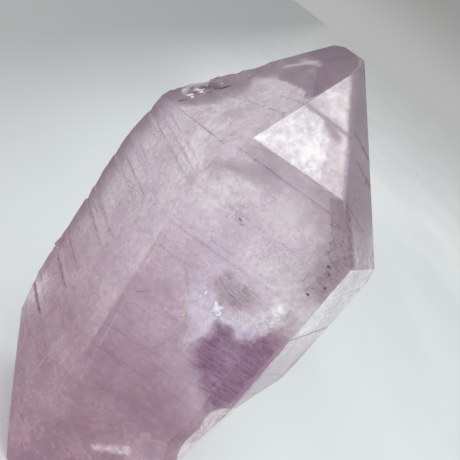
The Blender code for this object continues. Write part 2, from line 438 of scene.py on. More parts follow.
# How rough the faces without a value are, the least that a face behind REAR_FROM is, and the roughest.
OTHER_ROUGH = 0.5
REAR_FROM = 2.0
LEAST_REAR_ROUGH = 0.45
ROUGHEST = 0.8
ROUGHEST_FACES = ("back right", "tip back right", "tip back", "worn tip")

# Outlines on the front face, as (x, z) in millimetres.
PATCH = ((6.3, 53.1), (5.9, 49.0), (6.6, 45.4), (9.3, 42.3), (12.9, 39.9), (15.6, 37.8), (18.5, 41.0),
         (20.5, 47.0), (20.5, 54.0), (17.2, 55.3), (14.9, 56.0), (12.7, 53.7), (8.8, 53.1), (6.3, 53.1))
BROWN = ((0.7, 58.1), (2.1, 61.8), (7.8, 61.3), (9.1, 60.0), (7.2, 57.5), (4.4, 56.3), (0.7, 58.1))
VEIL_LEFT = ((-0.2, 56.5), (1.3, 56.9), (4.6, 55.5), (4.3, 51.3), (4.8, 47.4), (4.1, 44.2), (1.9, 45.0),
             (1.2, 49.6), (-0.6, 52.3), (-0.2, 56.5))
VEIL_RIGHT = ((6.0, 54.1), (7.9, 57.3), (10.4, 57.6), (12.6, 61.8), (14.1, 61.6), (15.1, 59.4), (14.1, 55.6),
              (10.7, 53.4), (8.0, 53.3), (6.0, 54.1))
SMOKY_EDGE = ((9.5, 81.8), (13.0, 81.5), (17.5, 75.0), (17.5, 57.0), (15.0, 62.0), (13.0, 68.0),
              (11.5, 74.0), (9.5, 81.8))
CLOUD_UPPER = ((-10.0, 75.5), (-5.0, 75.5), (-1.0, 72.5), (-5.5, 67.5), (-9.5, 69.0), (-10.0, 75.5))
CLOUD_RIGHT = ((3.5, 70.5), (10.5, 71.0), (14.5, 65.5), (13.5, 60.5), (8.0, 62.5), (3.5, 70.5))
# Zones of colour on the front face: the outline (filled where it ends where it starts, otherwise a
# stroke along it), its softness, strength, tint and haze.
FRONT_ZONES = (
    (((-8.0, 72.0), (-1.0, 59.0), (-3.0, 50.0)), 6.0, 0.6, (0.86, 0.73, 0.88), 0.32),
    (((-5.0, 78.5), (6.0, 77.0)), 4.0, 0.5, (0.90, 0.84, 0.84), 0.34),
    (((-9.5, 76.5), (-5.0, 74.8), (-7.0, 70.8)), 2.6, 0.7, (0.98, 0.93, 0.92), 0.62),
    (((6.0, 68.0), (14.0, 64.0)), 3.4, 0.5, (0.96, 0.90, 0.93), 0.52),
    (((9.0, 82.0), (15.0, 76.0), (17.5, 69.0)), 3.4, 0.85, (0.62, 0.51, 0.52), 0.15),
    (((-10.0, 76.8), (-6.0, 78.0), (-3.0, 79.6)), 2.5, 0.9, (0.60, 0.51, 0.53), 0.12),
    (((-7.2, 82.2), (11.0, 82.2)), 1.4, 0.5, (0.68, 0.58, 0.60), 0.15),
    (((12.5, 80.5), (18.2, 73.0)), 1.2, 0.6, (0.60, 0.50, 0.51), 0.12),
    (((-9.0, 56.0), (2.0, 41.0), (7.0, 30.0)), 6.5, 0.65, (0.66, 0.46, 0.54), 0.26),
    (((-12.0, 44.0), (-4.0, 32.0), (6.0, 30.0)), 6.5, 0.75, (0.51, 0.34, 0.41), 0.25),
    (((0.0, 37.0), (6.0, 33.5), (12.0, 28.0)), 5.0, 0.6, (0.50, 0.34, 0.41), 0.20),
    (((3.6, 16.3), (8.2, 18.6)), 0.8, 0.8, (1.0, 0.86, 0.92), 0.75),
    (BROWN, 1.4, 0.6, (0.74, 0.60, 0.66), 0.20),
    (PATCH, 2.4, 0.85, (0.56, 0.32, 0.51), 0.10),
    (((7.4, 52.8), (8.6, 48.8), (10.6, 45.5)), 1.6, 0.6, (0.42, 0.20, 0.37), 0.06),
    (VEIL_LEFT, 1.2, 0.7, (0.92, 0.83, 1.0), 0.35),
    (VEIL_RIGHT, 1.3, 0.8, (0.98, 0.95, 1.0), 0.48),
    (((13.2, 62.0), (14.6, 59.2)), 1.2, 0.9, (1.0, 1.0, 1.0), 0.85),
    (((9.8, 54.2), (13.0, 55.4)), 0.7, 0.7, (0.74, 0.66, 0.98), 0.45),
    (((10.6, 38.4), (14.0, 35.8), (16.0, 36.3), (17.6, 39.5)), 0.7, 0.4, (0.86, 0.76, 0.83), 0.40),
    (((7.0, 43.5), (10.5, 39.0)), 1.8, 0.6, (0.66, 0.52, 0.64), 0.18),
)
# The plane of the front face, and the x of its right edge, past which nothing is put inside.
FRONT_Y = -14.4
FRONT_EDGE_X = 17.5
# Single grains, as x and z on the front face, depth, half width, half height and turn in degrees.
WHITE_GRAINS = (
    (4.7, 55.0, 0.0, 1.20, 1.05, 10.0), (4.0, 55.7, 0.0, 0.85, 0.60, 40.0),
    (5.4, 54.4, 0.0, 0.90, 0.60, -30.0), (4.2, 54.3, 0.0, 0.35, 0.55, 0.0),
    (5.2, 55.7, 0.0, 0.35, 0.50, 20.0), (1.4, 56.3, 0.0, 0.32, 0.50, 20.0),
    (1.0, 55.2, 0.0, 0.26, 0.40, 0.0), (2.0, 53.8, 0.0, 0.22, 0.30, 0.0),
    (14.2, 62.6, 0.0, 0.16, 0.40, 10.0), (11.4, 70.8, 0.9, 0.10, 0.40, 5.0),
    (11.8, 69.6, 0.9, 0.14, 0.14, 0.0), (9.8, 74.8, 0.9, 0.16, 0.14, 0.0),
    (-5.9, 74.9, 1.2, 0.30, 0.28, 20.0), (-6.4, 73.9, 1.1, 0.20, 0.34, -10.0),
    (-7.3, 70.6, 1.2, 0.22, 0.20, 0.0), (-4.6, 74.3, 1.4, 0.16, 0.20, 0.0),
    (-4.7, 72.0, 1.3, 0.26, 0.16, 30.0), (11.7, 52.0, 0.9, 0.12, 0.12, 0.0),
    (9.6, 44.4, 0.8, 0.14, 0.10, 0.0), (14.1, 44.0, 0.8, 0.10, 0.12, 0.0),
)
DARK_GRAINS = (
    (14.7, 72.9, 0.0, 0.28, 0.34, 10.0), (15.6, 71.8, 0.0, 0.24, 0.40, -20.0),
    (15.1, 66.8, 0.0, 0.34, 0.30, 0.0), (16.6, 69.4, 0.0, 0.26, 0.30, 30.0),
    (-1.6, 70.7, 0.1, 0.55, 0.16, 20.0), (-0.8, 70.2, 0.1, 0.40, 0.14, -10.0),
    (-5.3, 80.2, 0.3, 0.13, 0.24, 10.0), (-9.4, 41.0, 0.8, 0.14, 0.12, 0.0),
    (12.4, 76.2, 0.1, 0.22, 0.20, 0.0), (13.3, 74.9, 0.6, 0.14, 0.20, 0.0),
    (14.0, 76.9, 0.5, 0.20, 0.18, 0.0), (4.6, 78.6, 0.6, 0.14, 0.12, 0.0),
)
AMBER_GRAINS = ((0.7, 50.4, 0.1, 0.38, 0.95, 15.0), (0.4, 51.9, 0.1, 0.28, 0.50, 0.0))
# Small random grains: how many, in which outline, and the ranges of their depth and half width.
WHITE_SCATTER = (
    (60, CLOUD_UPPER, (0.0, 0.3), (0.05, 0.20)),
    (40, CLOUD_RIGHT, (0.0, 0.3), (0.05, 0.13)),
    (40, SMOKY_EDGE, (0.0, 0.3), (0.05, 0.12)),
    (40, VEIL_LEFT, (0.0, 0.3), (0.06, 0.22)),
    (40, VEIL_RIGHT, (0.0, 0.3), (0.06, 0.20)),
)
DARK_SCATTER = ((40, SMOKY_EDGE, (0.5, 2.0), (0.05, 0.14)),)
# Pale and dark grains in the chipped edge of the tip: the pale ones are painted glints and the dark ones
# painted shade in its hollows. Each is a point near the surface, half width, half height and turn.
PAINTED_CHIP_GLINTS = (
    ((-20.5, 4.9, 78.1), 1.20, 0.55, -45.0), ((-19.5, 6.8, 79.6), 1.50, 0.50, -40.0),
    ((-19.0, 4.8, 79.7), 0.60, 0.80, 20.0), ((-20.2, 7.4, 79.3), 0.90, 0.40, -20.0),
    ((-18.8, 7.6, 81.0), 0.80, 0.30, -30.0), ((-19.9, 3.4, 78.4), 0.50, 0.45, 30.0),
    ((-17.3, 7.4, 82.9), 0.60, 0.20, -30.0), ((-15.4, 6.4, 84.6), 0.40, 0.16, -30.0),
    ((-13.6, 6.4, 87.0), 0.40, 0.14, -35.0),
)
# The dark grains are painted shade, put where the chip hollows look dark.
CHIP_HOLLOW_SHADE = (
    ((-18.2, 6.7, 81.4), 0.60, 1.20, 10.0), ((-17.3, 6.0, 82.0), 0.90, 0.65, -30.0),
    ((-16.5, 5.2, 82.6), 1.10, 0.45, -30.0), ((-15.6, 4.6, 83.5), 1.10, 0.30, -35.0),
    ((-20.8, 5.8, 78.5), 1.30, 0.26, -45.0), ((-21.0, 3.2, 76.9), 0.90, 0.22, -50.0),
    ((-19.2, 5.8, 80.0), 0.60, 0.26, -20.0), ((-18.9, 3.9, 79.4), 0.80, 0.20, -60.0),
    ((-17.6, 3.6, 81.0), 0.90, 0.20, -35.0),
)
# Needles and cracks: (x, z, depth) along each, and its half width.
WHITE_THREADS = (
    (((5.0, 54.6, 0.0), (6.4, 54.0, 0.0), (7.8, 53.6, 0.0)), 0.15),
    (((4.4, 53.8, 0.0), (4.0, 53.1, 0.0), (4.7, 52.6, 0.0), (4.4, 51.7, 0.0), (5.0, 51.2, 0.0),
      (5.4, 51.7, 0.0)), 0.14),
    (((3.1, 62.8, 0.05), (6.0, 61.9, 0.05), (9.7, 61.1, 0.05)), 0.10),
    (((4.6, 63.6, 0.05), (8.6, 62.3, 0.05)), 0.07),
    (((4.8, 55.6, 0.0), (5.3, 57.2, 0.0)), 0.09),
    (((7.2, 54.6, 0.05), (9.4, 56.0, 0.05), (12.6, 59.2, 0.05)), 0.10),
    (((9.6, 54.6, 0.05), (12.0, 55.6, 0.05), (14.6, 58.6, 0.05)), 0.09),
    (((5.2, 63.4, 1.2), (8.4, 62.2, 1.2)), 0.06),
    (((11.2, 74.0, 0.9), (11.5, 72.0, 0.9), (11.4, 70.0, 0.9)), 0.06),
    (((9.6, 50.6, 1.4), (12.6, 49.2, 1.4), (15.4, 48.4, 1.4)), 0.05),
    (((9.9, 52.0, 1.4), (12.6, 51.0, 1.4), (16.2, 50.3, 1.4)), 0.05),
    (((8.6, 48.2, 1.4), (8.9, 45.6, 1.4), (10.0, 43.4, 1.4)), 0.05),
    (((13.6, 47.4, 1.4), (15.4, 46.7, 1.4), (16.9, 46.4, 1.4)), 0.06),
)
DARK_THREADS = (
    (((-8.4, 49.0, 0.7), (-7.5, 49.6, 0.7), (-6.3, 50.8, 0.8)), 0.06),
    (((-8.7, 46.3, 0.7), (-7.9, 46.4, 0.7), (-7.4, 46.9, 0.7)), 0.05),
    (((12.2, 75.0, 0.6), (14.6, 73.8, 0.6), (17.0, 73.2, 0.6)), 0.06),
    (((11.6, 77.4, 0.6), (14.4, 76.2, 0.6)), 0.05),
    (((2.4, 61.4, 1.8), (5.0, 60.2, 1.8), (7.6, 59.6, 1.8)), 0.08),
    (((1.6, 60.2, 1.8), (4.6, 58.8, 1.8), (7.4, 58.2, 1.8)), 0.08),
)

# The deeper mauve of the root: where it is 0 and 1, as height plus a share of x, its tint and haze.
MAUVE_FROM, MAUVE_WHOLE = 62.0, 17.0
MAUVE_LEAN = 0.35
LOW_MAUVE = (0.65, 0.45, 0.525)
MAUVE_HAZE = 0.28
# The broken scoop beside the root: the tint and haze of its surface.
SCOOP = ((1.0, 0.92, 0.96), 0.52)
# Where the dark rear of the tip begins on the tip's left face: height, then depth.
TIP_DARK_FROM = ((74.0, 6.0), (77.0, 1.5), (80.5, -1.6), (84.0, -0.2), (86.7, 4.0), (89.8, 2.4),
                 (91.0, -2.5), (92.5, -12.0))
TIP_DARK = (0.45, 0.34, 0.40)
# A brownish tint, darkened as painted shade for the chip hollows.
CHIPPED_TINT_AND_SHADE = (0.40, 0.31, 0.32)
# Pale streaks across that dark part, from point to point, with their half width, strength, tint and haze.
TIP_STREAKS = (((-9.3, 5.6, 92.3), (-5.5, 4.3, 96.1)), ((-7.5, 6.2, 94.9), (-4.8, 2.8, 96.1)))
TIP_STREAK_WIDTH = 0.5
TIP_STREAK_LOOK = (0.75, (0.92, 0.86, 0.88), 0.45)
# Ramps from one look to another: the strength, the ramps whose product it follows, the tint and the
# haze. A ramp is an axis, where it is 0 and where it is 1, and "soft z" is the height, waved a little.
LEFT_REAR = (0.9, (("y", -1.0, 5.5), ("z", 30.0, 50.0)), (0.52, 0.39, 0.47), 0.14)
TIP_TOP = (0.7, (("z", 94.0, 98.5), ("y", -3.0, 0.5)), (0.36, 0.25, 0.31), 0.06)
TIP_FRONT_TOP = (0.8, (("z", 90.4, 91.4),), (0.88, 0.82, 0.83), 0.45)
RIGHT_BAND = (0.85, (("soft z", 60.0, 48.0), ("soft z", 33.0, 42.0)), (0.74, 0.65, 0.73), 0.25)
RIGHT_LOW = (0.85, (("soft z", 34.0, 20.0),), (0.88, 0.78, 0.84), 0.35)
TIP_RIGHT_LOW = (1.0, (("z", 83.0, 75.0),), (0.97, 0.93, 0.95), 0.40)
TIP_RIGHT_FRONT = (0.8, (("y", -11.5, -13.2),), (0.43, 0.33, 0.43), 0.08)
# Pale clouds: the centre, the reach, the strength, the tint and the haze.
LEFT_CLOUDS = (
    ((-13.8, -9.0, 75.0), (3.5, 4.5, 6.0), 0.8, (0.99, 0.94, 0.94), 0.70),
    ((-23.5, 0.5, 28.0), (3.5, 4.0, 4.5), 0.8, (1.0, 0.84, 0.92), 0.8),
)
TIP_LEFT_CLOUDS = (((-13.5, -8.0, 79.5), (3.5, 4.0, 4.0), 0.6, (0.99, 0.94, 0.94), 0.65),)
# Dark lines on the tip's front face, painted reflections of an edge inside the tip, from (x, z) to (x, z):
# the half width, strength, tint and haze.
TIP_FRONT_REFLECTED_EDGES = (
    ((-3.6, 90.9), (5.5, 90.9), 0.30, 0.85, (0.45, 0.36, 0.40), 0.05),
    ((0.9, 90.4), (3.4, 89.7), 0.65, 0.9, (0.45, 0.35, 0.38), 0.05),
)
# Leaning lines on that face: x and z of a point, and how far right the line runs for each step down.
GREY_EDGE = (2.6, 88.1, 0.44)
DARK_EDGE = (0.0, 99.3, 0.62)


def gap_to(q, a, b):
    """How far q is from the segment from a to b."""
    span = b - a
    t = min(max((q - a).dot(span) / max(span.length_squared, 1e-9), 0.0), 1.0)
    return (q - a - span * t).length


def stroke(q, a, b, width):
    """1 on the segment from a to b, falling off softly to either side."""
    return math.exp(-(gap_to(q, a, b) / width) ** 2)


def past(line, q):
    """How far q lies to the right of a leaning line."""
    x, z, lean = line
    return q.x - (x + (z - q.y) * lean)


def contains(outline, q):
    """Whether the outline goes round q."""
    inner = False
    for a, b in zip(outline, outline[1:]):
        if (a.y > q.y) != (b.y > q.y) and q.x < (b.x - a.x) * (q.y - a.y) / (b.y - a.y) + a.x:
            inner = not inner
    return inner


def zone_amount(q, outline, soft):
    """How much of a zone is at q, from 0 to 1."""
    outline = [Vector(p) for p in outline]
    gap = min(gap_to(q, a, b) for a, b in zip(outline, outline[1:]))
    if outline[0] != outline[-1]:
        return math.exp(-(gap / soft) ** 2)
    return smooth(gap if contains(outline, q) else -gap, -soft, 0.6 * soft)


def between(table, x):
    """The value at x in a table of (x, value), on straight lines between its rows."""
    for (x0, y0), (x1, y1) in zip(table, table[1:]):
        if x <= x1:
            return y0 + (y1 - y0) * max(x - x0, 0.0) / (x1 - x0)
    return table[-1][1]


class Look:
    """The tint, haze and roughness of the surface at p, which lies in the named face."""

    def __init__(self, p, name):
        self.p = p
        self.warp = Vector((wobble(p, 0.13, 1.0), 0.0, wobble(p, 0.13, 7.0))) * 2.2
        self.waved = p + self.warp
        self.tint = Vector(FACE_TINTS.get(name, REAR_TINT))
        self.haze = FACE_HAZE.get(name, REAR_HAZE)
        self.rough = FACE_ROUGH.get(name, OTHER_ROUGH)

    def toward(self, amount, colour, milk):
        """Takes the look this share of the way to a colour and a haze."""
        amount = min(max(amount, 0.0), 1.0)
        self.tint = self.tint.lerp(Vector(colour), amount)
        self.haze += (milk - self.haze) * amount

    def fade(self, strength, ramps, colour, milk):
        for axis, start, end in ramps:
            place = self.waved.z if axis == "soft z" else getattr(self.p, axis)
            strength *= smooth(place, start, end)
        self.toward(strength, colour, milk)

    def add_clouds(self, clouds):
        for centre, reach, strength, colour, milk in clouds:
            self.toward(strength * blob(self.waved, centre, reach), colour, milk)


def add_tip_rear(look, name):
    """The dark rear of the tip with its chipped edge, on the tip's left face and those behind it."""
    p, q = look.p, look.waved
    streaks = 1.0 + 0.30 * wobble((p.x * 0.4, p.y * 0.4, p.z * 1.4), 0.5, 41.0)
    dark = tuple(c * streaks for c in TIP_DARK)
    amount = 0.95 if name == "tip left" else 0.8 * smooth(q.z, 75.0, 84.0)
    look.toward(amount * smooth(p.y - between(TIP_DARK_FROM, q.z), -1.0, 1.8), dark, 0.12)
    # The chipped stretch takes a brownish tint, darkened as painted shade in its hollows and mottled at
    # random.
    facet = noise.noise(p * 1.1)
    chipped = tuple(c * (1.0 + 1.1 * facet) for c in CHIPPED_TINT_AND_SHADE)
    near = smooth(blob(p, CHIPPED, CHIPPED_REACH), 0.15, 0.45)
    look.toward(0.95 * near, chipped, 0.05 + 0.5 * max(facet, 0.0))
    look.fade(*TIP_TOP)
    if name == "tip left":
        look.add_clouds(TIP_LEFT_CLOUDS)
        strength, colour, milk = TIP_STREAK_LOOK
        for a, b in TIP_STREAKS:
            look.toward(strength * stroke(p, Vector(a), Vector(b), TIP_STREAK_WIDTH), colour, milk)


def add_tip_front(look):
    """The tip's front face: bright left, greyer right, dark lines (a painted reflection) and a dark right
    edge.
    """
    flat = Vector((look.p.x + 0.12 * look.warp.x, look.p.z))
    look.toward(0.9 * smooth(past(GREY_EDGE, flat), -0.2, 0.4), (0.86, 0.79, 0.79), 0.40)
    look.fade(*TIP_FRONT_TOP)
    # Dark lines painted as the reflection of an edge inside the tip.
    for a, b, width, strength, colour, milk in TIP_FRONT_REFLECTED_EDGES:
        look.toward(strength * stroke(flat, Vector(a), Vector(b), width), colour, milk)
    look.toward(0.95 * smooth(past(DARK_EDGE, flat), -1.4, 0.2), (0.43, 0.31, 0.37), 0.08)


def add_tip_right(look):
    """The tip's right face, dark as a painted reflection: upright streaks, pale at its foot, dark at its
    front edge.
    """
    p = look.p
    look.fade(*TIP_RIGHT_LOW)
    streak = abs(wobble((p.x * 1.6, p.y * 1.2, p.z * 0.12), 1.0, 17.0))
    look.toward(0.55 * streak, (0.30, 0.25, 0.28), 0.05)
    look.fade(*TIP_RIGHT_FRONT)


def look_at(p, name):
    """The look of the surface at p, which lies in the named face."""
    if name == "broken" and p.x < -12.0 and p.z < 74.0:
        name = "left"
    look = Look(p, name)
    q = look.waved
    rear = p.y > REAR_FROM and name not in ("front", "right", "tip front", "tip right")
    if rear:
        look.rough = max(look.rough, LEAST_REAR_ROUGH)
    if name == "broken" and p.y > 4.0:
        look.tint, look.haze, look.rough = Vector(REAR_TINT), REAR_HAZE, ROUGHEST
    if name in ROUGHEST_FACES:
        look.rough = ROUGHEST
    if name not in ("right", "tip front", "tip right"):
        look.toward(smooth(q.z + MAUVE_LEAN * q.x, MAUVE_FROM, MAUVE_WHOLE), LOW_MAUVE, MAUVE_HAZE)
    if name == "front":
        flat = Vector((q.x, q.z))
        for outline, soft, strength, colour, milk in FRONT_ZONES:
            look.toward(strength * zone_amount(flat, outline, soft), colour, milk)
    if name == "broken" and p.x > 12.0 and p.z < 38.0:
        look.toward(1.0, *SCOOP)
    if name == "left":
        look.fade(*LEFT_REAR)
        look.add_clouds(LEFT_CLOUDS)
    if name == "tip left" or (rear and p.z > 76.0):
        add_tip_rear(look, name)
    if name == "tip front":
        add_tip_front(look)
    if name == "right":
        look.fade(*RIGHT_BAND)
        look.fade(*RIGHT_LOW)
    if name == "tip right":
        add_tip_right(look)
    return look


def paint(mesh, names):
    """Writes each corner's tint, haze and roughness."""
    count = len(mesh.loops)
    tint, haze, rough = np.ones((count, 4)), np.zeros(count), np.zeros(count)
    known = {}
    for polygon, name in zip(mesh.polygons, names):
        for loop in polygon.loop_indices:
            index = mesh.loops[loop].vertex_index
            if (index, name) not in known:
                known[index, name] = look_at(mesh.vertices[index].co / MM, name)
            look = known[index, name]
            tint[loop, :3], haze[loop], rough[loop] = look.tint, look.haze, look.rough
    attributes = mesh.attributes
    attributes.new("tint", "FLOAT_COLOR", "CORNER").data.foreach_set("color", tint.ravel())
    attributes.new("haze", "FLOAT", "CORNER").data.foreach_set("value", haze)
    attributes.new("rough", "FLOAT", "CORNER").data.foreach_set("value", rough)


def amethyst_material():
    """Clear quartz, tinted and made milky by the mesh's own values, with a cloudy and grainy haze."""
    material, n = new_material("amethyst")
    place = n.place()
    cloud = n.noise(place, 0.13, 2.0, 0.5)
    grain = n.noise(place, 0.9, 4.0, 0.65)
    haze = n.attribute("haze")
    both = n.math("ADD", n.math("MULTIPLY", cloud, 0.5), n.math("MULTIPLY", grain, 0.5))
    soft = n.math("MULTIPLY", haze, n.ramp(both, 0.3, 0.7, 0.35, 1.55))
    clear = n.math("SUBTRACT", 1.0, soft, clamp=True)
    mottle = n.ramp(n.noise(place, 0.5, 5.0, 0.7), 0.3, 0.7, 0.88, 1.08, smooth=False)
    grey = n.add("ShaderNodeCombineXYZ", {0: mottle, 1: mottle, 2: mottle}).outputs[0]
    colour = n.vector("MULTIPLY", n.attribute("tint", "Color"), grey)
    ripple = n.noise(place, 1.2, 3.0)
    bump = n.add("ShaderNodeBump", {"Height": ripple, "Strength": 0.05, "Distance": 0.2 * MM})
    absorb = n.add("ShaderNodeVolumeAbsorption", {"Color": ABSORPTION_COLOUR, "Density": ABSORPTION_DENSITY})
    shader = n.add(
        "ShaderNodeBsdfPrincipled",
        {
            "Base Color": colour,
            "Roughness": n.attribute("rough"),
            "IOR": IOR,
            "Transmission Weight": clear,
            "Normal": bump.outputs[0],
        },
    )
    n.add("ShaderNodeOutputMaterial", {"Surface": shader.outputs[0], "Volume": absorb.outputs[0]})
    return material


def add_crystal():
    mesh, names = refined_mesh(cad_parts["crystal"])
    paint(mesh, names)
    mesh.shade_smooth()
    mesh.set_sharp_from_angle(angle=CREASE)
    crystal = bpy.data.objects.new("amethyst_point", mesh)
    bpy.context.scene.collection.objects.link(crystal)
    mesh.materials.append(amethyst_material())
    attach(crystal, "root")
    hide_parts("crystal")
    return crystal


def under_front(x, z, depth):
    """The point this deep behind the front face, on the photograph's line of sight through (x, z) there."""
    point = Vector((x, FRONT_Y, z))
    way = (point - Vector(EYE)).normalized()
    bend = math.sqrt(1.0 - (1.0 - way.y ** 2) / IOR ** 2) - way.y / IOR
    bent = way / IOR + Vector((0.0, bend, 0.0))
    return point + bent * (depth / bent.y)


# The streaks in the colour zones run level: the way along them, its scale, and the way across them.
STREAK_ALONG = (1.0, 0.0, 0.0)
STREAK_SCALE = 0.3
STREAK_ACROSS = (0.0, 0.3, 1.0)


def zone_material(name, dark, light, cover, fine=1.3):
    """A colour zone or healed veil in the quartz: streaked along one way, and thinner toward its rim."""
    material, n = new_material(name)
    place = n.place()
    u = n.vector("DOT_PRODUCT", place, tuple(STREAK_SCALE * c for c in STREAK_ALONG))
    v = n.vector("DOT_PRODUCT", place, tuple(fine * c for c in STREAK_ACROSS))
    streak = n.noise(n.add("ShaderNodeCombineXYZ", {0: u, 1: v}).outputs[0], 1.0, 4.0, 0.65)
    spots = n.noise(place, 0.8, 5.0, 0.7)
    both = n.math("ADD", n.math("MULTIPLY", streak, 0.5), n.math("MULTIPLY", spots, 0.5))
    alpha = n.math("MULTIPLY", n.attribute("cover"), n.ramp(both, 0.38, 0.62, *cover), clamp=True)
    colour = n.mix(n.ramp(n.noise(place, 1.7, 3.0, 0.6), 0.35, 0.65), (*dark, 1.0), (*light, 1.0))
    shader = n.add(
        "ShaderNodeBsdfPrincipled",
        {"Base Color": colour, "Roughness": 0.5, "Specular IOR Level": 0.1, "Alpha": alpha},
    )
    n.add("ShaderNodeOutputMaterial", {"Surface": shader.outputs[0]})
    return material


# The least depth of a sheet, and the cover below which it has no face.
LEAST_DEPTH = 0.4
LEAST_COVER = 0.02


def add_sheet(name, outline, soft, depth, lean, material, step=0.35, warped=0.5):
    """A thin curved sheet behind the front face. lean is how its depth grows along x and z."""
    low = [min(p[i] for p in outline) - soft for i in (0, 1)]
    high = [max(p[i] for p in outline) + soft for i in (0, 1)]
    high[0] = min(high[0], FRONT_EDGE_X)
    columns, rows = (max(2, math.ceil((high[i] - low[i]) / step)) for i in (0, 1))
    bm = bmesh.new()
    layer = bm.verts.layers.float.new("cover")
    cover = []
    grid = []
    for j in range(rows + 1):
        for i in range(columns + 1):
            x = low[0] + (high[0] - low[0]) * i / columns
            z = low[1] + (high[1] - low[1]) * j / rows
            ripple = noise.noise(Vector((x * 0.3, depth, z * 0.3)))
            right, up = (warped * wobble((x, 0.0, z), 0.5, seed) for seed in (21.0, 33.0))
            deep = depth + lean[0] * (x - low[0]) + lean[1] * (z - low[1]) + 0.25 * ripple
            grid.append(bm.verts.new(under_front(x, z, max(deep, LEAST_DEPTH)) * MM))
            cover.append(zone_amount(Vector((x + right, z + up)), outline, soft))
    for j in range(rows):
        for i in range(columns):
            ring = [j * (columns + 1) + i, j * (columns + 1) + i + 1]
            ring += [ring[1] + columns + 1, ring[0] + columns + 1]
            if max(cover[k] for k in ring) > LEAST_COVER:
                bm.faces.new([grid[k] for k in ring])
    for vert, amount in zip(grid, cover):
        vert[layer] = amount
    loose = [v for v in bm.verts if not v.link_faces]
    bmesh.ops.delete(bm, geom=loose, context="VERTS")
    return add_piece(name, bm, material)


def add_piece(name, bm, material):
    """Makes a smooth piece of the crystal from bm, riding on its body."""
    mesh = bpy.data.meshes.new(name)
    bm.to_mesh(mesh)
    bm.free()
    mesh.shade_smooth()
    mesh.materials.append(material)
    piece = bpy.data.objects.new(name, mesh)
    bpy.context.scene.collection.objects.link(piece)
    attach(piece, "root")
    return piece


def add_zones():
    purple = zone_material("purple_zone", (0.27, 0.07, 0.26), (0.38, 0.14, 0.36), (0.20, 0.85), fine=2.2)
    brown = zone_material("smoky_zone", (0.22, 0.13, 0.15), (0.42, 0.30, 0.34), (0.15, 0.70))
    rust = zone_material("smoky_edge", (0.30, 0.20, 0.19), (0.52, 0.42, 0.41), (0.10, 0.60), fine=0.8)
    white = zone_material("healed_veil", (0.82, 0.74, 0.94), (1.0, 0.99, 1.0), (-0.15, 0.95), fine=2.4)
    pale = zone_material("cloud_veil", (0.95, 0.92, 0.92), (1.0, 0.99, 0.97), (0.0, 0.75), fine=0.9)
    add_sheet("purple_zone", PATCH, 2.0, 3.4, (-0.05, 0.06), purple, warped=1.1)
    add_sheet("smoky_zone", BROWN, 0.9, 2.6, (0.05, 0.08), brown)
    add_sheet("smoky_edge", SMOKY_EDGE, 2.0, 1.2, (0.0, 0.03), rust)
    add_sheet("veil_left", VEIL_LEFT, 0.9, 1.5, (0.10, 0.06), white)
    add_sheet("veil_right", VEIL_RIGHT, 0.8, 1.0, (0.02, 0.10), white)
    add_sheet("cloud_upper", CLOUD_UPPER, 2.2, 2.0, (0.02, 0.05), pale, step=0.5)
    add_sheet("cloud_right", CLOUD_RIGHT, 2.4, 2.2, (0.02, 0.04), pale, step=0.5)


def fleck_material(name, colour, other):
    """Rough opaque grains, mottled from one colour to another."""
    material, n = new_material(name)
    place = n.place()
    shade = n.mix(n.ramp(n.noise(place, 2.5, 3.0), 0.35, 0.65), (*colour, 1.0), (*other, 1.0))
    pits = n.noise(place, 6.0, 2.0)
    bump = n.add("ShaderNodeBump", {"Height": pits, "Strength": 0.3, "Distance": 0.05 * MM})
    finish = {"Base Color": shade, "Roughness": 0.4, "Normal": bump.outputs[0]}
    shader = n.add("ShaderNodeBsdfPrincipled", finish)
    n.add("ShaderNodeOutputMaterial", {"Surface": shader.outputs[0]})
    return material


def add_flecks(name, spots, material, rng, way=(0.0, -1.0, 0.0)):
    """Small rough grains, lying flat across the way.

    Each spot is a centre, a half width, a half height and a turn in degrees.
    """
    lie = Vector((0.0, -1.0, 0.0)).rotation_difference(Vector(way)).to_matrix()
    bm = bmesh.new()
    for centre, wide, tall, turn in spots:
        made = bmesh.ops.create_icosphere(bm, subdivisions=1, radius=1.0)["verts"]
        spin = lie @ Matrix.Rotation(math.radians(turn), 3, "Y")
        for vert in made:
            p = vert.co * rng.uniform(0.65, 1.25)
            p = spin @ Vector((p.x * wide, p.y * 0.5 * min(wide, tall), p.z * tall))
            vert.co = (centre + p) * MM
    return add_piece(name, bm, material)


def add_threads(name, threads, material):
    """Thin cracks and needles. Each thread is a list of (x, z, depth) and a half width."""
    bm = bmesh.new()
    for line, half in threads:
        rings = []
        places = [under_front(*p) for p in line]
        for i, place in enumerate(places):
            ahead = (places[min(i + 1, len(places) - 1)] - places[max(i - 1, 0)]).normalized()
            side = ahead.cross(Vector((0.0, 1.0, 0.0))).normalized()
            r = half * (0.45 if i in (0, len(places) - 1) else 1.0)
            deep = Vector((0.0, r, 0.0))
            ring = [place + side * r, place + deep, place - side * r, place - deep]
            rings.append([bm.verts.new(p * MM) for p in ring])
        for a, b in zip(rings, rings[1:]):
            for k in range(4):
                bm.faces.new([a[k], a[(k + 1) % 4], b[(k + 1) % 4], b[k]])
        bm.faces.new(rings[0][::-1])
        bm.faces.new(rings[-1])
    bmesh.ops.recalc_face_normals(bm, faces=bm.faces[:])
    return add_piece(name, bm, material)


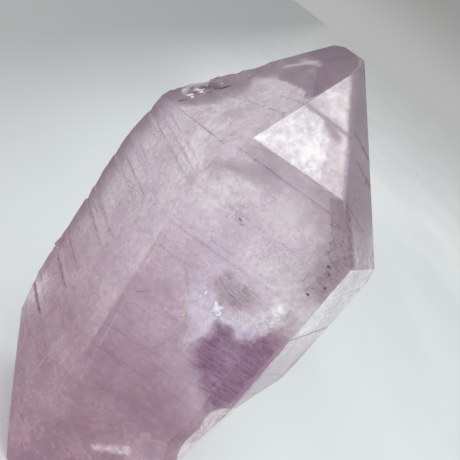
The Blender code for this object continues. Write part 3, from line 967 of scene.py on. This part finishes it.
def scatter(rng, count, outline, depths, sizes):
    """Random spots inside an outline on the front face."""
    low = [min(p[i] for p in outline) for i in (0, 1)]
    high = [max(p[i] for p in outline) for i in (0, 1)]
    corners = [Vector(p) for p in outline]
    spots = []
    while len(spots) < count:
        x, z = rng.uniform(low[0], high[0]), rng.uniform(low[1], high[1])
        if contains(corners, Vector((x, z))):
            size = sizes[0] * (sizes[1] / sizes[0]) ** rng.random() ** 2
            centre = under_front(x, z, rng.uniform(*depths))
            spots.append((centre, size, size * rng.uniform(0.5, 1.6), rng.uniform(-60.0, 60.0)))
    return spots


def on_front(grains):
    """The spots of a table of grains on the front face."""
    return [(under_front(x, z, depth), wide, tall, turn) for x, z, depth, wide, tall, turn in grains]


def on_surface(crystal, chips):
    """The spots of a table of chips, each moved to the nearest point of the crystal's surface."""
    spots = []
    for centre, wide, tall, turn in chips:
        nearest = crystal.closest_point_on_mesh(Vector(centre) * MM)[1]
        spots.append((nearest / MM, wide, tall, turn))
    return spots


def add_inclusions(crystal):
    rng = random.Random(11)
    white = fleck_material("white_grain", (0.82, 0.79, 0.86), (0.66, 0.62, 0.74))
    dark = fleck_material("dark_grain", (0.05, 0.03, 0.05), (0.14, 0.09, 0.11))
    amber = fleck_material("amber_grain", (0.62, 0.42, 0.20), (0.78, 0.60, 0.38))
    hollow = fleck_material("chip_shade_grain", (0.10, 0.06, 0.08), (0.27, 0.18, 0.21))
    tip_left = FACE_WAYS["tip left"]
    # Painted glints: pale grains that stand in for the highlights of the chipped edge.
    add_flecks("painted_chip_glints", on_surface(crystal, PAINTED_CHIP_GLINTS), white, rng, tip_left)
    # Painted shade: dark grains in the chip hollows.
    add_flecks("chip_shade_grains", on_surface(crystal, CHIP_HOLLOW_SHADE), hollow, rng, tip_left)
    grains = on_front(WHITE_GRAINS)
    for patch in WHITE_SCATTER:
        grains += scatter(rng, *patch)
    add_flecks("white_grains", grains, white, rng)
    specks = on_front(DARK_GRAINS)
    for patch in DARK_SCATTER:
        specks += scatter(rng, *patch)
    add_flecks("dark_grains", specks, dark, rng)
    add_flecks("amber_grains", on_front(AMBER_GRAINS), amber, rng)
    add_threads("white_needles", WHITE_THREADS, white)
    add_threads("dark_cracks", DARK_THREADS, dark)


# The floor's colours: far off, in the middle, close by, to the far left, and of its faint mottling. The
# grey far off and toward the far left, and the slightly darker colour close by, are painted shade.
FLOOR_FAR_SHADE = (0.575, 0.565, 0.555, 1.0)
FLOOR_MIDDLE = (0.88, 0.90, 0.89, 1.0)
FLOOR_CLOSE = (0.79, 0.82, 0.815, 1.0)
FLOOR_LEFT_SHADE = (0.45, 0.455, 0.45, 1.0)
FLOOR_MOTTLE = (0.44, 0.44, 0.44, 1.0)
# How far back the middle colour is whole, and the nearest that the grading reaches, in millimetres.
MIDDLE_BACK = 530.0
NEAREST_BACK = 300.0
# The way to the far left, and how far along it that colour begins and is whole.
LEFT_WAY = (-1.0, 0.06, 0.0)
LEFT_FROM, LEFT_WHOLE = 25.0, 150.0
# In metres: the floor's radius, and how far it lies below the crystal's cut.
FLOOR_RADIUS = 6.0
FLOOR_DROP = 0.0002


def floor_material():
    """Pale paper with painted shade: graded to grey far off and toward the far left, and faintly mottled."""
    material, n = new_material("floor")
    place = n.place()
    depth = n.math("MAXIMUM", n.vector("DOT_PRODUCT", place, (0.0, 1.0, 0.0)), NEAREST_BACK)
    nearness = n.math("DIVIDE", MIDDLE_BACK, depth)
    left = n.ramp(n.vector("DOT_PRODUCT", place, LEFT_WAY), LEFT_FROM, LEFT_WHOLE)
    # Painted shade: grey far off, a little darker close by, and grey toward the far left.
    colour = n.mix(n.ramp(nearness, 0.0, 1.0, smooth=False), FLOOR_FAR_SHADE, FLOOR_MIDDLE)
    colour = n.mix(n.ramp(nearness, 1.0, 1.7), colour, FLOOR_CLOSE)
    colour = n.mix(left, colour, FLOOR_LEFT_SHADE)
    mottle = n.noise(n.vector("MULTIPLY", place, (1.0, 0.4, 1.0)), 0.018, 2.0, 0.5)
    colour = n.mix(n.ramp(mottle, 0.35, 0.65, 0.0, 0.10), colour, FLOOR_MOTTLE)
    shader = n.add("ShaderNodeBsdfPrincipled", {"Base Color": colour, "Roughness": 0.85})
    n.add("ShaderNodeOutputMaterial", {"Surface": shader.outputs[0]})
    return material


def add_stage():
    bm = bmesh.new()
    bmesh.ops.create_circle(bm, cap_ends=True, radius=FLOOR_RADIUS, segments=96)
    mesh = bpy.data.meshes.new("floor")
    bm.to_mesh(mesh)
    bm.free()
    floor = bpy.data.objects.new("floor", mesh)
    floor.location.z = -FLOOR_DROP
    floor.data.materials.append(floor_material())
    bpy.context.scene.collection.objects.link(floor)


# Soft lights: name, side in metres, power in watts, the way from the crystal and the distance in metres.
SOFTBOXES = (
    ("softbox_tip", 0.30, 0.4, (0.105, -0.433, 0.897), 0.5),
    ("softbox_front", 0.90, 6.0, (-0.25, -0.85, 0.45), 1.2),
)
# The point that they face, in millimetres.
LIGHT_AIM = (0.0, -10.0, 80.0)
# The room round the crystal: its colour at the horizon, just above it, and overhead.
HORIZON = (0.46, 0.465, 0.458, 1.0)
LOW_WALL = (0.31, 0.31, 0.305, 1.0)
OVERHEAD = (0.90, 0.93, 0.94, 1.0)


def add_light():
    world = bpy.data.worlds.new("studio")
    bpy.context.scene.world = world
    world.use_nodes = True
    n = Nodes(world.node_tree)
    coords = n.add("ShaderNodeTexCoord")
    split = n.add("ShaderNodeSeparateXYZ", {0: coords.outputs["Generated"]})
    low = n.ramp(split.outputs["Z"], 0.0, 0.12)
    height = n.ramp(split.outputs["Z"], 0.1, 0.9)
    colour = n.mix(low, HORIZON, LOW_WALL)
    colour = n.mix(height, colour, OVERHEAD)
    background = n.add("ShaderNodeBackground", {"Color": colour, "Strength": 1.0})
    n.add("ShaderNodeOutputWorld", {"Surface": background.outputs[0]})
    for name, size, energy, way, distance in SOFTBOXES:
        light = bpy.data.lights.new(name, "AREA")
        light.shape = "SQUARE"
        light.size = size
        light.energy = energy
        box = bpy.data.objects.new(name, light)
        aim = Vector(LIGHT_AIM) * MM
        box.location = aim + Vector(way).normalized() * distance
        box.rotation_mode = "QUATERNION"
        box.rotation_quaternion = (box.location - aim).to_track_quat("Z", "Y")
        bpy.context.scene.collection.objects.link(box)


add_camera()
add_stage()
add_light()
crystal_point = add_crystal()
add_zones()
add_inclusions(crystal_point)
bpy.context.scene.view_settings.view_transform = "Standard"
